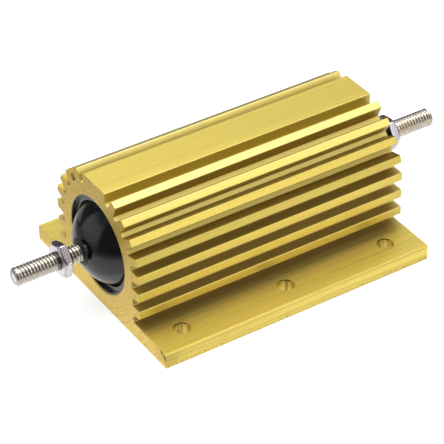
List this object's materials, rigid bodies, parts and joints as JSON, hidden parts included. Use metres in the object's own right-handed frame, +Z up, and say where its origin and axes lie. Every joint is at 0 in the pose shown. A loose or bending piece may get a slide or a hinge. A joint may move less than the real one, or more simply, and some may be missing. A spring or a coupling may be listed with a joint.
{
  "type": "aluminium housed resistor",
  "caption": "Power resistor in a finned, gold anodised aluminium extrusion with drilled flanges, black moulded domed ends and threaded terminal studs with hexagon nuts.",
  "frame": {"origin": "centre of the mounting face, at the bottom of the housing", "axes": "+X along the bore from the left stud to the right stud, +Y across the flanges, +Z up from the mounting face towards the flat pad"},
  "size_m": [0.143, 0.0724, 0.0415],
  "materials": {
    "anodised_aluminium": "pale gold anodised, satin",
    "black_moulding": "black, satin gloss",
    "ceramic": "off-white fired ceramic, matt",
    "resistance_alloy": "close-wound resistance wire",
    "plated_cap": "plated steel",
    "plated_stud": "bright plated",
    "plated_nut": "bright plated"
  },
  "bodies": {
    "root": {"housing": "anodised_aluminium", "moulded_body": "black_moulding", "ceramic_core": "ceramic", "resistance_winding": "resistance_alloy", "left_end_cap": "plated_cap", "right_end_cap": "plated_cap", "left_terminal_stud": "plated_stud", "right_terminal_stud": "plated_stud", "left_terminal_nut": "plated_nut", "right_terminal_nut": "plated_nut"}
  },
  "joints": []
}
